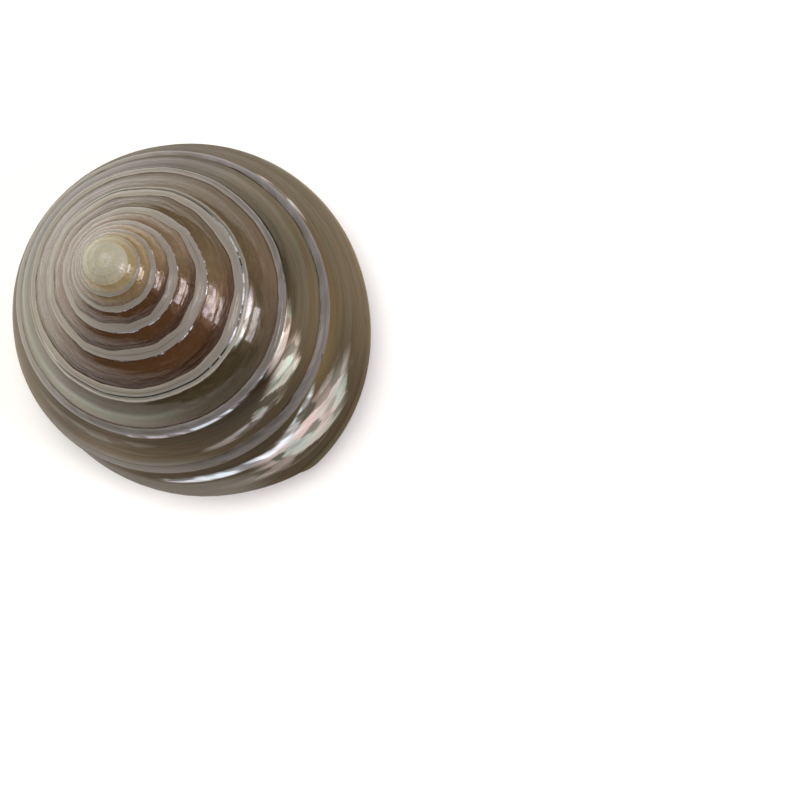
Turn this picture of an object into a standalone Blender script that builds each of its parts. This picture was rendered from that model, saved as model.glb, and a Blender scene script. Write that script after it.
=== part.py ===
# A polished top shell, grown as one coiled tube: whorls laid under each other round an axis, a
# rounded rim, a flat base ringed with spiral cords, and a slanting mouth under the last whorl.
# It rests on its base. Metres, +Z up.

import math

import bmesh
import bpy
import numpy as np
from mathutils import Matrix, Vector

MM = 0.001

# The keel is the spiral line that the next whorl is laid against: its distance from the axis
# and its depth below the tip, in millimetres, at every whole turn from the tip.
KEEL_RADIUS = (0.5, 1.35, 2.2, 3.05, 4.2, 5.8, 8.15, 11.35, 15.3, 19.5, 23.1, 25.2)
KEEL_DEPTH = (0.1, 0.45, 1.2, 2.4, 4.3, 6.75, 9.8, 13.7, 19.0, 26.7, 35.9, 45.6)
FULL_RADIUS = KEEL_RADIUS[10]

# The keel flares out towards the mouth's corner, by this many millimetres between these turns.
FLARE = 1.5
FLARE_TURNS = (9.94, 10.14)

# Every size below is in millimetres on the last whorl, unless it says otherwise, and shrinks
# with the keel's radius.
STEPS_PER_TURN = 32
MOUTH_TURN = 10.25
HOLLOW_TURNS = 0.75

# The mouth's edge slants. Its top at the suture is ahead of MOUTH_TURN and its corner at the
# keel is behind it, in turns. Across the base it runs further back, by distance from the axis
# in keel radii, and turns sharply round the notch beside the pillar.
SUTURE_AHEAD = 0.09
KEEL_BEHIND = 0.11
LIP_DISTANCE = (0.17, 0.31, 0.38, 0.75, 1.0)
LIP_BACK = (0.27, 0.22, 0.13, 0.06, 0.0)

# A whorl's face, from the suture above it to its own keel: place along it and height above
# it, both in lengths of the face. A flat cord stands proud just above the keel.
FACE = (
    (0.05, -0.010), (0.28, 0.030), (0.56, 0.042), (0.84, 0.018), (0.875, 0.040), (0.965, 0.034)
)

# The rim below the keel is a part of an ellipse, from the keel's angle round to the base.
RIM_WIDTH = 3.8
RIM_HEIGHT = 3.2
RIM_ANGLES = (-24, -6, 12, 35, 62, 90)

# The base, by distance from the axis in keel radii, with its spiral cords.
BASE_PLAIN = (0.78, 0.69)
CORD_OUTER = 0.63
CORD_INNER = 0.31
CORD_COUNT = 8
CORD_RAISED = 0.18
BASE_CENTRE = (0.26, 0.215, 0.17)
BASE_CROWN = 0.25
DISH_START = 0.74
DISH_RISE = 2.2
NAVEL_RISE = 2.0

# The hollow's walls, the pillar in its middle and the lip's rounded edge. Behind the lip the
# roof thickens into a bevel. Its upper edge moves round the rim of the whorl above and in along
# that whorl's base, to the distance BEVEL_START in keel radii, over BEVEL_TURNS.
WALL = 1.5
LIP_WALL = 0.7
LIP_TAPER_TURNS = 0.2
LIP_ROUND = 0.35
BEVEL_START = 0.72
BEVEL_TURNS = 0.22
BEVEL_ROWS = 3
HOLLOW_RIM_ANGLES = (0, 45, 90)
HOLLOW_BASE = (0.74, 0.60, 0.48, 0.38, 0.31)
PILLAR_STEPS = 3

# The pillar's foot ends in a hooked tooth that lies round the navel. Each point of it is turns
# ahead of the foot, distance in keel radii, rise above the foot and its half thickness.
TOOTH = (
    (-0.08, 0.200, 2.2, 1.2), (0.03, 0.175, 1.4, 1.5), (0.12, 0.140, 1.0, 1.5),
    (0.21, 0.125, 0.7, 1.4), (0.27, 0.140, 0.6, 1.3), (0.31, 0.165, 0.8, 1.0),
)
TOOTH_SIDES = 10

# How the shell leans as it stands on its base and lip, in degrees, and towards which side.
LEAN = 9.5
LEAN_TOWARDS = 180.0

NACRE = (0.36, 0.31, 0.26, 1.0)
NACRE_ROUGHNESS = 0.25
SMOOTH_BELOW = 40.0

LAST_STEP = round(MOUTH_TURN * STEPS_PER_TURN)
FIRST_OPEN = LAST_STEP - STEPS_PER_TURN
HOLLOW_STEP = LAST_STEP - round(HOLLOW_TURNS * STEPS_PER_TURN)
KEEL_ROW = len(FACE) + 1
BASE_ROW = KEEL_ROW + len(RIM_ANGLES)
LIP_STEPS = 2
RIM_EDGE = 1 - RIM_WIDTH * math.cos(math.radians(RIM_ANGLES[0])) / FULL_RADIUS


def clear_scene():
    for obj in list(bpy.data.objects):
        bpy.data.objects.remove(obj, do_unlink=True)


def spline(values):
    """A smooth curve through values that stand one turn apart."""
    y = np.array(values)
    inner = len(y) - 2
    bend = np.zeros(len(y))
    ties = 4 * np.eye(inner) + np.eye(inner, k=1) + np.eye(inner, k=-1)
    bend[1:-1] = np.linalg.solve(ties, 6 * (y[:-2] - 2 * y[1:-1] + y[2:]))

    def at(turn):
        i = min(max(int(turn), 0), len(y) - 2)
        after = turn - i
        before = 1 - after
        curve = (after**3 - after) * bend[i + 1] + (before**3 - before) * bend[i]
        return y[i] * before + y[i + 1] * after + curve / 6

    return at


plain_radius = spline(KEEL_RADIUS)
keel_depth = spline(KEEL_DEPTH)


def smooth_step(value):
    value = min(max(value, 0.0), 1.0)
    return value * value * (3 - 2 * value)


def keel_radius(turn):
    start, end = FLARE_TURNS
    return plain_radius(turn) + FLARE * smooth_step((turn - start) / (end - start))


# Points in the plane through the axis are (distance from it, depth below the tip), in mm.


def keel(turn):
    return Vector((keel_radius(turn), keel_depth(turn)))


def face_point(turn, along, height, inset=0.0):
    chord = keel(turn) - keel(turn - 1)
    outwards = Vector((chord.y, -chord.x))
    return keel(turn - 1) + chord * along + outwards * (height - inset / chord.length)


def rim_point(turn, angle, inset=0.0):
    size = keel_radius(turn) / FULL_RADIUS
    start = math.radians(RIM_ANGLES[0])
    to_keel = Vector((RIM_WIDTH * math.cos(start), RIM_HEIGHT * math.sin(start)))
    across = RIM_WIDTH * size - inset
    down = RIM_HEIGHT * size - inset
    angle = math.radians(angle)
    return keel(turn) - to_keel * size + Vector((across * math.cos(angle), down * math.sin(angle)))


def base_point(turn, distance, raised=0.0, inset=0.0):
    size = keel_radius(turn) / FULL_RADIUS
    edge = rim_point(turn, 90)
    radius = distance * keel_radius(turn)
    inwards = (1 - radius / edge.x) / (1 - DISH_START / 2)
    crown = BASE_CROWN * math.sin(math.pi * min(inwards, 1.0))
    dish = DISH_RISE * smooth_step((DISH_START - distance) / (DISH_START - BASE_CENTRE[-1]))
    return Vector((radius, edge.y + size * (crown - dish + raised) - inset))


def base_rows():
    """Distance and raised height of each row of the base, from the rim to the pillar's foot."""
    rows = [(distance, 0.0) for distance in BASE_PLAIN]
    spacing = (CORD_OUTER - CORD_INNER) / CORD_COUNT
    for cord in range(CORD_COUNT):
        rows.append((CORD_OUTER - cord * spacing, 0.0))
        rows.append((CORD_OUTER - (cord + 0.5) * spacing, CORD_RAISED))
    rows.append((CORD_INNER, 0.0))
    return rows + [(distance, 0.0) for distance in BASE_CENTRE]


BASE = base_rows()
FOOT_ROW = BASE_ROW + len(BASE) - 1
FACE_ROWS = range(KEEL_ROW + 1)
BASE_ROWS = range(KEEL_ROW, FOOT_ROW + 1)
CEILING_ROWS = range(KEEL_ROW + LIP_STEPS, FOOT_ROW - LIP_STEPS + 1)


def keel_shift(step):
    """Turns by which the keel's point runs ahead of its step, because the mouth slants."""
    after = (step - FIRST_OPEN) / STEPS_PER_TURN
    if after < 0:
        return SUTURE_AHEAD * max(1 + after, 0.0)
    return SUTURE_AHEAD - (SUTURE_AHEAD + KEEL_BEHIND) * after


def face_turn(step, along):
    above = keel_shift(step - STEPS_PER_TURN)
    return step / STEPS_PER_TURN + above + (keel_shift(step) - above) * along


def base_turn(step, distance):
    here = keel_shift(step)
    inwards = (1 - distance) / (1 - BASE_CENTRE[-1])
    shift = here - (here + KEEL_BEHIND) * inwards - np.interp(distance, LIP_DISTANCE, LIP_BACK)
    return step / STEPS_PER_TURN + shift


def way_distance(way):
    """Distance in keel radii: way is 0 low on the rim, 1 at the base's edge, 2 at the cords."""
    if way < 1:
        return 1 - (1 - RIM_EDGE) * way
    return RIM_EDGE - (RIM_EDGE - CORD_OUTER) * (way - 1)


def way_point(turn, way, raised, inset):
    if way < 1:
        first = RIM_ANGLES[LIP_STEPS]
        return rim_point(turn, first + (RIM_ANGLES[-1] - first) * way, inset)
    return base_point(turn, way_distance(way), raised, inset)


def row_way(row):
    if row < BASE_ROW:
        first = RIM_ANGLES[LIP_STEPS]
        return (RIM_ANGLES[row - KEEL_ROW] - first) / (RIM_ANGLES[-1] - first)
    return 1 + (RIM_EDGE - BASE[row - BASE_ROW][0]) / (RIM_EDGE - CORD_OUTER)


def behind_lip(step, over):
    """0 at the lip and ahead of it, rising to 1 this many turns behind it."""
    return min(max((LAST_STEP - step) / STEPS_PER_TURN / over, 0.0), 1.0)


def outer_place(step, row, inset=0.0):
    """The turn and the flat point of a row: down the face, round the rim, across the base."""
    if row < KEEL_ROW:
        along, height = FACE[row - 1]
        turn = face_turn(step, along)
        return turn, face_point(turn, along, height, inset)
    if row < KEEL_ROW + LIP_STEPS:
        turn = base_turn(step, 1.0)
        return turn, rim_point(turn, RIM_ANGLES[row - KEEL_ROW], inset)
    way = row_way(row)
    raised = BASE[row - BASE_ROW][1] if row >= BASE_ROW else 0.0
    bevel = behind_lip(step + STEPS_PER_TURN, BEVEL_TURNS)
    if way < 2:
        edge = bevel * (1 + (RIM_EDGE - BEVEL_START) / (RIM_EDGE - CORD_OUTER))
        way = edge + (2 - edge) * way / 2
    turn = base_turn(step, way_distance(way))
    return turn, way_point(turn, way, raised, inset)


def hollow_places(step):
    """The hollow's own rows: down the bevel, round the rim, back along the base."""
    wall = LIP_WALL + (WALL - LIP_WALL) * smooth_step(behind_lip(step, LIP_TAPER_TURNS))
    corner = outer_place(step - STEPS_PER_TURN, CEILING_ROWS[0])[1]
    rim = rim_point(base_turn(step, 1), HOLLOW_RIM_ANGLES[0], wall)
    places = []
    for row in range(1, BEVEL_ROWS + 1):
        along = row / (BEVEL_ROWS + 1)
        places.append((face_turn(step, along), corner.lerp(rim, along)))
    for angle in HOLLOW_RIM_ANGLES:
        turn = base_turn(step, 1 - (1 - RIM_EDGE) * angle / RIM_ANGLES[-1])
        places.append((turn, rim_point(turn, angle, wall)))
    for distance in HOLLOW_BASE:
        turn = base_turn(step, distance)
        places.append((turn, base_point(turn, distance, 0.0, wall)))
    return places


def placed(turn, flat):
    """A flat point swung round the axis to its turn, clockwise as seen from the tip."""
    angle = -2 * math.pi * turn
    return Vector((flat.x * math.cos(angle), flat.x * math.sin(angle), -flat.y)) * MM


class Skin:
    """The shell's surface, with each point made once."""

    def __init__(self):
        self.mesh = bmesh.new()
        self.points = {}
        self.tip = self.mesh.verts.new((0, 0, 0))

    def point(self, key, make):
        if key not in self.points:
            self.points[key] = self.mesh.verts.new(make())
        return self.points[key]

    def outer(self, step, row):
        """The whorl above lends its keel as this one's upper edge."""
        if row == 0:
            return self.tip if step < STEPS_PER_TURN else self.outer(step - STEPS_PER_TURN, KEEL_ROW)
        if step == 0 and row < KEEL_ROW:
            return self.tip
        return self.point(("outer", step, row), lambda: placed(*outer_place(step, row)))

    def line(self, step, rows):
        return [self.outer(step, row) for row in rows]

    def hollow(self, step):
        """The hollow's ring at a step, from the suture round to the top of the pillar."""
        above = step - STEPS_PER_TURN
        ring = [self.outer(above, CEILING_ROWS[0])]
        for i, place in enumerate(hollow_places(step)):
            ring.append(self.point(("hollow", step, i), lambda: placed(*place)))
        top = self.outer(above, CEILING_ROWS[-1])
        foot = ring[-1].co.copy()
        for i in range(1, PILLAR_STEPS):
            share = i / PILLAR_STEPS
            ring.append(self.point(("pillar", step, i), lambda: foot.lerp(top.co, share)))
        return ring + [top]

    def face(self, *corners):
        corners = [v for i, v in enumerate(corners) if v is not corners[i - 1]]
        if len(corners) > 2:
            self.mesh.faces.new(corners)

    def strip(self, one, other):
        for i in range(len(one) - 1):
            self.face(one[i], one[i + 1], other[i + 1], other[i])

    def band(self, steps, rows):
        for step in steps:
            self.strip(self.line(step, rows), self.line(step + 1, rows))

    def lace(self, one, other):
        """Triangles between two lines that have different numbers of points."""
        one_way = distances(one)
        other_way = distances(other)
        i = j = 0
        while i < len(one) - 1 or j < len(other) - 1:
            other_done = j == len(other) - 1
            if other_done or (i < len(one) - 1 and one_way[i + 1] <= other_way[j + 1]):
                self.face(one[i], one[i + 1], other[j])
                i += 1
            else:
                self.face(one[i], other[j + 1], other[j])
                j += 1

    def fan(self, ring, centre):
        middle = self.mesh.verts.new(centre)
        for i, corner in enumerate(ring):
            self.face(ring[i - 1], corner, middle)


def distances(line):
    """How far along the line each of its points is, as a share of its length."""
    way = [0.0]
    for before, after in zip(line, line[1:]):
        way.append(way[-1] + (after.co - before.co).length)
    return [length / way[-1] for length in way]


def make_skin():
    skin = Skin()
    skin.band(range(LAST_STEP), FACE_ROWS)
    skin.band(range(FIRST_OPEN, LAST_STEP), BASE_ROWS)
    skin.band(range(HOLLOW_STEP - STEPS_PER_TURN, FIRST_OPEN), CEILING_ROWS)
    for step in range(HOLLOW_STEP, LAST_STEP):
        skin.strip(skin.hollow(step), skin.hollow(step + 1))
    close_hollow(skin)
    make_lip(skin)
    return skin


def close_hollow(skin):
    ceiling = skin.line(HOLLOW_STEP - STEPS_PER_TURN, CEILING_ROWS)
    ring = ceiling + skin.hollow(HOLLOW_STEP)[-2:0:-1]
    centre = sum((v.co for v in ring), Vector()) / len(ring)
    skin.fan(ring, centre)


def make_lip(skin):
    """The mouth's rounded edge, from the suture round the whorl and up the pillar."""
    outer = skin.line(LAST_STEP, range(FOOT_ROW + 1))
    middle = [skin.outer(FIRST_OPEN, KEEL_ROW + 1)]
    for row in range(1, FOOT_ROW + 1):
        turn, flat = outer_place(LAST_STEP, row, LIP_WALL / 2)
        ahead = LIP_ROUND / (2 * math.pi * flat.x)
        middle.append(skin.mesh.verts.new(placed(turn + ahead, flat)))
    foot = outer[-1]
    top = skin.outer(FIRST_OPEN, FOOT_ROW)
    middle_top = skin.outer(FIRST_OPEN, FOOT_ROW - 1)
    for i in range(1, PILLAR_STEPS):
        share = i / PILLAR_STEPS
        outer.append(skin.mesh.verts.new(foot.co.lerp(top.co, share)))
        middle.append(skin.mesh.verts.new(middle[FOOT_ROW].co.lerp(middle_top.co, share)))
    outer.append(top)
    middle.append(middle_top)
    skin.strip(outer, middle)
    skin.lace(middle, skin.hollow(LAST_STEP))
    navel = [skin.outer(step, FOOT_ROW) for step in range(FIRST_OPEN, LAST_STEP)]
    ring = navel + outer[FOOT_ROW:-1]
    centre = sum((v.co for v in navel), Vector()) / len(navel)
    centre += Vector((0, 0, NAVEL_RISE * MM))
    skin.fan(ring, centre)


def stand(obj):
    """Leans the shell as it rests, with the origin under its middle at the surface."""
    side = math.radians(LEAN_TOWARDS)
    hinge = Vector((-math.sin(side), math.cos(side), 0))
    lean = Matrix.Rotation(math.radians(LEAN), 4, hinge)
    corners = np.array([lean @ v.co for v in obj.data.vertices])
    low = corners.min(axis=0)
    middle = (low + corners.max(axis=0)) / 2
    move = Matrix.Translation((-middle[0], -middle[1], -low[2])) @ lean
    obj.data.transform(move)
    return move


def nacre():
    material = bpy.data.materials.new("nacre")
    material.use_nodes = True
    shader = material.node_tree.nodes["Principled BSDF"]
    shader.inputs["Base Color"].default_value = NACRE
    shader.inputs["Roughness"].default_value = NACRE_ROUGHNESS
    material.diffuse_color = NACRE
    return material


def make_tooth():
    """A bent, round-ended bar that lies round the navel, in place on the whorl's axis."""
    mesh = bmesh.new()
    foot_turn, foot = outer_place(LAST_STEP, FOOT_ROW)
    middles = []
    for ahead, distance, rise, _ in TOOTH:
        flat = Vector((distance * FULL_RADIUS, foot.y - rise))
        middles.append(placed(foot_turn + ahead, flat))
    rings = []
    for i, (ahead, _, _, half) in enumerate(TOOTH):
        along = (middles[min(i + 1, len(TOOTH) - 1)] - middles[max(i - 1, 0)]).normalized()
        across = along.cross(Vector((0, 0, 1))).normalized()
        up = across.cross(along)
        ring = []
        for side in range(TOOTH_SIDES):
            angle = 2 * math.pi * side / TOOTH_SIDES
            reach = across * math.cos(angle) + up * math.sin(angle)
            ring.append(mesh.verts.new(middles[i] + reach * half * MM))
        rings.append(ring)
    for one, other in zip(rings, rings[1:]):
        for side in range(TOOTH_SIDES):
            mesh.faces.new((one[side - 1], one[side], other[side], other[side - 1]))
    mesh.faces.new(rings[0])
    mesh.faces.new(reversed(rings[-1]))
    return mesh


def as_object(name, mesh):
    bmesh.ops.recalc_face_normals(mesh, faces=list(mesh.faces))
    data = bpy.data.meshes.new(name)
    mesh.to_mesh(data)
    mesh.free()
    obj = bpy.data.objects.new(name, data)
    bpy.context.scene.collection.objects.link(obj)
    return obj


def make_shell():
    shell = as_object("shell", make_skin().mesh)
    tooth = as_object("tooth", make_tooth())
    tooth.hide_render = True
    tooth.display_type = "WIRE"
    join = shell.modifiers.new("tooth", "BOOLEAN")
    join.operation = "UNION"
    join.object = tooth
    move = stand(shell)
    tooth.data.transform(move)
    shell.data.shade_smooth()
    shell.data.set_sharp_from_angle(angle=math.radians(SMOOTH_BELOW))
    shell.data.materials.append(nacre())


clear_scene()
make_shell()
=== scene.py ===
# The looks of a polished top shell: one piece that follows the solid's whorls more finely,
# with worn white cords, glossy nacre with painted sheens in streaks, a hooked pillar and a
# lined mouth.

import math

import bmesh
import bpy
import numpy as np
from mathutils import Matrix, Vector


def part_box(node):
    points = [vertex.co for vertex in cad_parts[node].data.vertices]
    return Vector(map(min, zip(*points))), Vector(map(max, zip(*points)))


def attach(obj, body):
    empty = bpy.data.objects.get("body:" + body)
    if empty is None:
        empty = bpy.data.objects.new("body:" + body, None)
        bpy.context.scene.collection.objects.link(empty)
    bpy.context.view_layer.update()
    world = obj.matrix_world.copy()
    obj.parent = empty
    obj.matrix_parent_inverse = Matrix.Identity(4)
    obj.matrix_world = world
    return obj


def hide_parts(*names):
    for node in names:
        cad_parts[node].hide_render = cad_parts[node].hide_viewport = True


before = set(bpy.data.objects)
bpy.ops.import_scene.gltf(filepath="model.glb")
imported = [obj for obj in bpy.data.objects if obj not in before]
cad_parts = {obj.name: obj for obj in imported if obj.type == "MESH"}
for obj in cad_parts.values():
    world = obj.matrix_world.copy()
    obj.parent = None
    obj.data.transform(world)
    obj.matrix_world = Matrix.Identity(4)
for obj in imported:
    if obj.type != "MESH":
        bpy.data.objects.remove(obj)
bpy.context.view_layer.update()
mm = 0.001

# The whorls, as the solid has them: the keel's distance from the axis and its depth below
# the tip at every whole turn, and the sizes on the last whorl. Lengths are in millimetres,
# angles in degrees, and places on the base are shares of the keel's distance.
whorls = {
    "keelRadius": (0.5, 1.35, 2.2, 3.05, 4.2, 5.8, 8.15, 11.35, 15.3, 19.5, 23.1, 25.2),
    "keelDepth": (0.1, 0.45, 1.2, 2.4, 4.3, 6.75, 9.8, 13.7, 19.0, 26.7, 35.9, 45.6),
    "flare": 1.5,
    "flareTurns": (9.94, 10.14),
    "mouthTurn": 10.25,
    "hollowTurns": 0.75,
    "sutureAhead": 0.09,
    "keelBehind": 0.11,
    "lipDistance": (0.17, 0.31, 0.38, 0.75, 1.0),
    "lipBack": (0.27, 0.22, 0.13, 0.06, 0.02),  # in turns; the last is 0 in the solid
    "rimWidth": 3.8,
    "rimHeight": 3.2,
    "keelAngle": -24,
    "ceilingAngle": 12,
    "cords": 8,
    "cordOuter": 0.63,
    "cordInner": 0.31,
    "cordRaised": 0.2,
    "foot": 0.17,
    "ceilingEnd": 0.26,
    "crown": 0.25,
    "dishStart": 0.74,
    "dishRise": 2.2,
    "navelRise": 2.6,
    "wall": 1.5,
    "lipWall": 0.7,
    "lipTaperTurns": 0.2,
    "lipRound": 0.35,
    "bevelStart": 0.72,
    "bevelTurns": 0.22,
    "lean": 9.5,
    "leanTowards": 180.0,
}

# What a user would change of the piece itself. A pair called a start or an end gives the turn
# from which something sets in or fades out, and over how many turns. Places and heights on a
# whorl are shares of the way from suture to keel.
topShell = {
    "stepsPerTurn": 180,
    "faceRows": (
        0.0, 0.02, 0.04, 0.06, 0.08, 0.1, 0.125, 0.155, 0.2, 0.26, 0.33, 0.41, 0.5, 0.58, 0.66,
        0.74, 0.81, 0.87, 0.91, 0.945, 0.97, 0.987, 1.0,
    ),
    "bandRows": (0.04, 0.12, 0.25, 0.42, 0.6, 0.76, 0.88, 0.95, 1.0),
    "faceHeight": (
        (0, 0.02, 0.06, 0.25, 0.5, 0.75, 0.92, 1),
        (0, -0.012, 0, 0.024, 0.034, 0.027, 0.011, -0.002),
    ),
    "bandHeight": (
        (0, 0.05, 0.2, 0.45, 0.7, 0.88, 0.96, 1),
        (-0.004, 0.015, 0.036, 0.044, 0.042, 0.03, 0.016, 0),
    ),
    "bandFrom": (0.6, 0.68, 0.76, 0.69, 0.64, 0.61, 0.62, 0.75, 0.83, 0.79, 0.8, 0.8),  # each turn
    "reliefStart": (2.2, 0.8),
    "reliefEnd": (8.2, 1),
    "reliefLost": 0.45,
    "bodyStart": (9.05, 0.4),
    "bodyBulge": 0.03,
    "gapSpread": (0.6, 1.4),
    "facetsPerTurn": 14,
    "facetJitter": 0.14,
    "facetOffset": 0.015,
    "facetStart": (2.8, 0.6),
    "facetEnd": (6.6, 0.7),
    "facetLost": 0.75,
    "facetBlunt": 0.006,
    "facetOnKeel": 0.12,
    "facetOnKeelEnd": (6.8, 1),
    "keelWave": 0.07,
    "wavesPerTurn": 34,
    "waveStart": (4, 1.5),
    "waveEnd": (7.6, 1.2),
    "threadRaised": 0.014,
    "threadPlace": 0.085,
    "threadWidth": 0.035,
    "threadStart": (6.4, 0.4),
    "threadEnd": (7.5, 0.4),
    "cordPlump": 0.8,
    "rowsPerCord": 6,
    "keelRows": 22,
    "leadRows": 3,
    "lipRows": 5,
    "roofRows": 60,
    "roofEase": 0.25,
    "mouthRimRows": 13,
    "mouthFloorRows": 16,
    "mouthFloorStart": 0.8,
    "linesInMouth": 8,
    "linesBetween": (0.1, 0.97),
    "lineSharp": 6,
    "lineRaised": 0.12,
    "pillarRows": 10,
    "navelRings": (0.85, 0.68, 0.5, 0.34, 0.22, 0.13, 0.07, 0.03),
    "navelSlope": 0.35,
    "navelEase": 1.3,
    "navelWell": (0.3, 0.27),
    "tooth": (  # turns ahead of the lip, distance, millimetres raised, half width
        (-0.08, 0.200, 2.2, 1.2), (0.03, 0.175, 1.4, 1.2), (0.12, 0.140, 1.0, 1.1),
        (0.21, 0.125, 0.7, 1.1), (0.28, 0.140, 0.6, 1.2), (0.30, 0.185, 0.8, 0.9),
        (0.255, 0.235, 0.9, 0.6), (0.16, 0.26, 1.1, 0.5), (0.06, 0.262, 1.5, 0.5),
        (-0.03, 0.25, 2.2, 0.5),
    ),
    "toothRound": 0.5,
    "toothSides": 24,
    "toothRings": 64,
    "seed": 5,
}

lastRadius = whorls["keelRadius"][10]
rimEdge = 1 - whorls["rimWidth"] * math.cos(math.radians(whorls["keelAngle"])) / lastRadius
cordWay = rimEdge - whorls["cordOuter"]
perTurn = topShell["stepsPerTurn"]
random = np.random.default_rng(topShell["seed"])


def spline(values):
    y = np.array(values)
    inner = len(y) - 2
    bend = np.zeros(len(y))
    ties = 4 * np.eye(inner) + np.eye(inner, k=1) + np.eye(inner, k=-1)
    bend[1:-1] = np.linalg.solve(ties, 6 * (y[:-2] - 2 * y[1:-1] + y[2:]))

    def at(turn):
        turn = np.asarray(turn, float)
        i = np.clip(turn.astype(int), 0, len(y) - 2)
        after = turn - i
        rest = 1 - after
        curve = (after**3 - after) * bend[i + 1] + (rest**3 - rest) * bend[i]
        return y[i] * rest + y[i + 1] * after + curve / 6

    return at


plainRadius = spline(whorls["keelRadius"])
plainDepth = spline(whorls["keelDepth"])
bandFrom = spline(topShell["bandFrom"])


def smoothStep(value):
    value = np.clip(value, 0, 1)
    return value * value * (3 - 2 * value)


def rise(turn, start, over):
    return smoothStep((turn - start) / over)


def unevenTurns(count):
    turns = len(whorls["keelRadius"]) - 1
    gaps = random.uniform(*topShell["gapSpread"], int(count * turns * 1.1))  # some to spare
    return np.cumsum(gaps) / count


# Straight facets along the white band's inner edge, and a fine jagged wave along the keel.
facets = unevenTurns(topShell["facetsPerTurn"])
facetHeights = random.uniform(-1, 1, len(facets))
waves = unevenTurns(topShell["wavesPerTurn"])
waveHeights = random.uniform(-1, 1, len(waves))


def facetLine(turn):
    i = np.clip(np.searchsorted(facets, turn) - 1, 0, len(facets) - 2)
    gap = facets[i + 1] - facets[i]
    share = (turn - facets[i]) / gap
    straight = facetHeights[i] * (1 - share) + facetHeights[i + 1] * share
    sag = plainRadius(turn) * ((math.pi * gap) ** 2 * 2 * share * (1 - share) - topShell["facetOffset"])
    return topShell["facetJitter"] * straight - sag


def facetWave(turn):
    worn = rise(turn, *topShell["facetStart"])
    worn = worn * (1 - topShell["facetLost"] * rise(turn, *topShell["facetEnd"]))
    blunt = topShell["facetBlunt"]
    return sum(facetLine(turn + shift * blunt) for shift in (-1.5, -0.5, 0.5, 1.5)) / 4 * worn


def keelWave(turn):
    amount = rise(turn, *topShell["waveStart"]) * (1 - rise(turn, *topShell["waveEnd"]))
    fine = topShell["keelWave"] * np.interp(turn, waves, waveHeights) * amount
    coarse = topShell["facetOnKeel"] * facetWave(turn)
    return fine + coarse * (1 - rise(turn, *topShell["facetOnKeelEnd"]))


def keelRadius(turn):
    turn = np.asarray(turn, float)
    start, end = whorls["flareTurns"]
    flare = whorls["flare"] * rise(turn, start, end - start)
    return plainRadius(turn) + flare + keelWave(turn)


def keel(turn):
    return np.stack([keelRadius(turn), plainDepth(turn)], -1)


def sizeAt(turn):
    return keelRadius(turn) / lastRadius


# Flat points are (distance from the axis, depth below the tip), in millimetres.
def facePoint(turn, along, height, inset=0.0):
    first = keel(np.maximum(turn - 1, 0)) * np.minimum(turn, 1)[..., None] ** 2
    chord = keel(turn) - first
    outwards = np.stack([chord[..., 1], -chord[..., 0]], -1)
    length = np.linalg.norm(chord, axis=-1)
    return first + chord * along[..., None] + outwards * (height - inset / length)[..., None]


def rimPoint(turn, angle, inset=0.0):
    size = sizeAt(turn)
    start = math.radians(whorls["keelAngle"])
    toKeel = np.array([whorls["rimWidth"] * math.cos(start), whorls["rimHeight"] * math.sin(start)])
    angle = np.radians(angle)
    across = (whorls["rimWidth"] * size - inset) * np.cos(angle)
    down = (whorls["rimHeight"] * size - inset) * np.sin(angle)
    return keel(turn) - toKeel * size[..., None] + np.stack([across, down], -1)


def basePoint(turn, distance, raised=0.0, inset=0.0):
    edge = rimPoint(turn, 90.0 + 0 * turn)
    radius = distance * keelRadius(turn)
    inwards = (1 - radius / edge[..., 0]) / (1 - whorls["dishStart"] / 2)
    crown = whorls["crown"] * np.sin(math.pi * np.minimum(inwards, 1))
    dishWidth = whorls["dishStart"] - whorls["foot"]
    dish = whorls["dishRise"] * smoothStep((whorls["dishStart"] - distance) / dishWidth)
    return np.stack([radius, edge[..., 1] + sizeAt(turn) * (crown - dish + raised) - inset], -1)


def cordHeight(distance):
    spacing = (whorls["cordOuter"] - whorls["cordInner"]) / whorls["cords"]
    phase = (whorls["cordOuter"] - distance) / spacing
    within = (distance < whorls["cordOuter"]) & (distance > whorls["cordInner"])
    crest = 0.5 - 0.5 * np.cos(2 * math.pi * phase)
    return np.where(within, whorls["cordRaised"] * crest ** topShell["cordPlump"], 0)


# The mouth slants, so a step's points run ahead of its turn or behind it.
firstOpen = whorls["mouthTurn"] - 1
hollowStart = whorls["mouthTurn"] - whorls["hollowTurns"]


def keelShift(step):
    after = step - firstOpen
    ahead = whorls["sutureAhead"]
    past = ahead - (ahead + whorls["keelBehind"]) * after
    return np.where(after < 0, ahead * np.maximum(1 + after, 0), past)


def faceTurn(step, along):
    above = keelShift(step - 1)
    return step + above + (keelShift(step) - above) * along


def baseTurn(step, distance):
    here = keelShift(step)
    inwards = (1 - distance) / (1 - whorls["foot"])
    back = np.interp(distance, whorls["lipDistance"], whorls["lipBack"])
    return step + here - (here + whorls["keelBehind"]) * inwards - back


# A way of 0 is the keel, 1 the rim's inner edge and 2 the outermost cord.
def wayDistance(way):
    outer = 1 - (1 - rimEdge) * way
    inner = rimEdge - cordWay * (way - 1)
    return np.where(way < 1, outer, inner)


def behindLip(step, over):
    return np.clip((whorls["mouthTurn"] - step) / over, 0, 1)


# Behind the lip, the rows of the ceiling slide inwards, because the next whorl covers the rim.
def slidWay(step, way):
    bevel = 1 + (rimEdge - whorls["bevelStart"]) / cordWay
    edge = behindLip(step + 1, whorls["bevelTurns"]) * bevel
    return np.where(way < 2, edge + (2 - edge) * way / 2, way)


def wayPoint(turn, way, inset=0.0):
    distance = wayDistance(way)
    angle = whorls["ceilingAngle"] + (90 - whorls["ceilingAngle"]) * np.minimum(way, 1)
    onBase = basePoint(turn, distance, cordHeight(distance), inset)
    return np.where(way[..., None] < 1, rimPoint(turn, angle, inset), onBase)


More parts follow.
